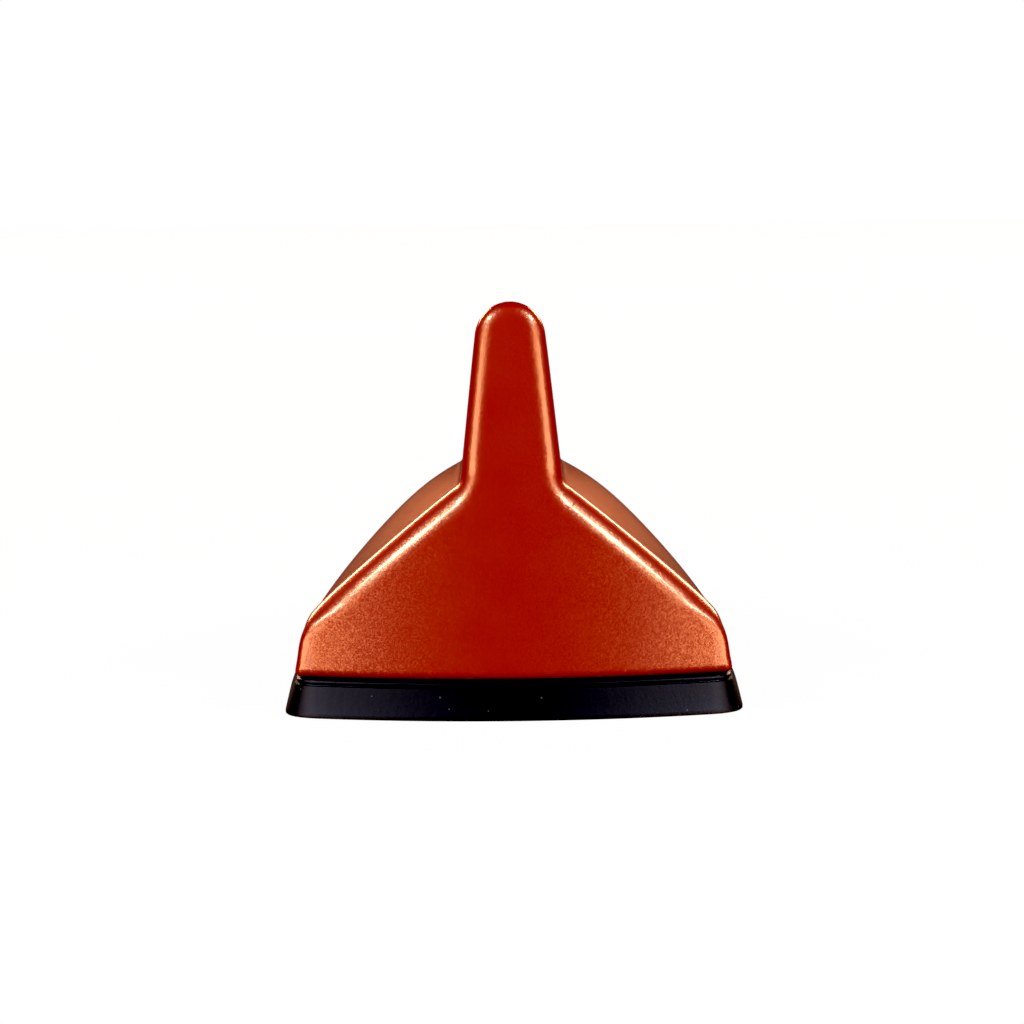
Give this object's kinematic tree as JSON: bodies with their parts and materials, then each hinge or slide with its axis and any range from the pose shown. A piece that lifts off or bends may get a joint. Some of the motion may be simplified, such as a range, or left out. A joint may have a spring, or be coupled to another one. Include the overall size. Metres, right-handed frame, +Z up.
{
  "type": "car roof antenna",
  "caption": "Fin-shaped car roof antenna: a painted cover that lifts off a flared rubber gasket and a die-cast base that carries the antenna boards.",
  "frame": {"origin": "centre of the part's box on the roof plane, under the gasket", "axes": "+X to the right seen from behind, +Y towards the nose, +Z up away from the roof"},
  "size_m": [0.0722, 0.1658, 0.0643],
  "materials": {
    "paint": "red metal-flake base coat under gloss clear coat on moulded plastic",
    "gasket_rubber": "moulded black rubber, satin",
    "casting": "as cast",
    "steel": "bright tinned sheet and plated screws",
    "brass": "bright brass and copper",
    "moulding": "moulded, fine texture",
    "membrane": "matt felt-like film",
    "board": "green solder mask over glass-fibre board",
    "ceramic": "fired, ground flat"
  },
  "bodies": {
    "base": {"gasket": "gasket_rubber", "cover_seal": "gasket_rubber", "boss_seal": "gasket_rubber", "base_plate": "casting", "fixing_insert": "brass", "cover_clip_1": "steel", "cover_clip_2": "steel", "cover_clip_3": "steel", "cover_clip_4": "steel", "cover_clip_5": "steel", "cover_clip_6": "steel", "connector_block": "moulding", "contact_pin_1": "brass", "contact_pin_2": "brass", "contact_pin_3": "brass", "vent_disc": "membrane", "main_board": "board", "board_screw_1": "steel", "board_screw_2": "steel", "board_screw_3": "steel", "board_screw_4": "steel", "shield_frame": "steel", "shield_can": "steel", "amplifier_chip_1": "moulding", "amplifier_chip_2": "moulding", "patch_ceramic": "ceramic", "patch_electrode": "steel", "patch_feed_pin": "brass", "phone_blade": "board", "phone_blade_copper": "brass", "fin_board": "board", "fin_board_holder_1": "moulding", "fin_board_holder_2": "moulding", "top_cap": "steel", "coil_former": "moulding", "antenna_coil": "brass"},
    "cover": {"cover": "paint"}
  },
  "joints": [
    {"name": "cover_lift", "type": "slide", "parent": "base", "child": "cover", "axis": [0, 0, 1], "range_m": [0, 0.08]}
  ]
}
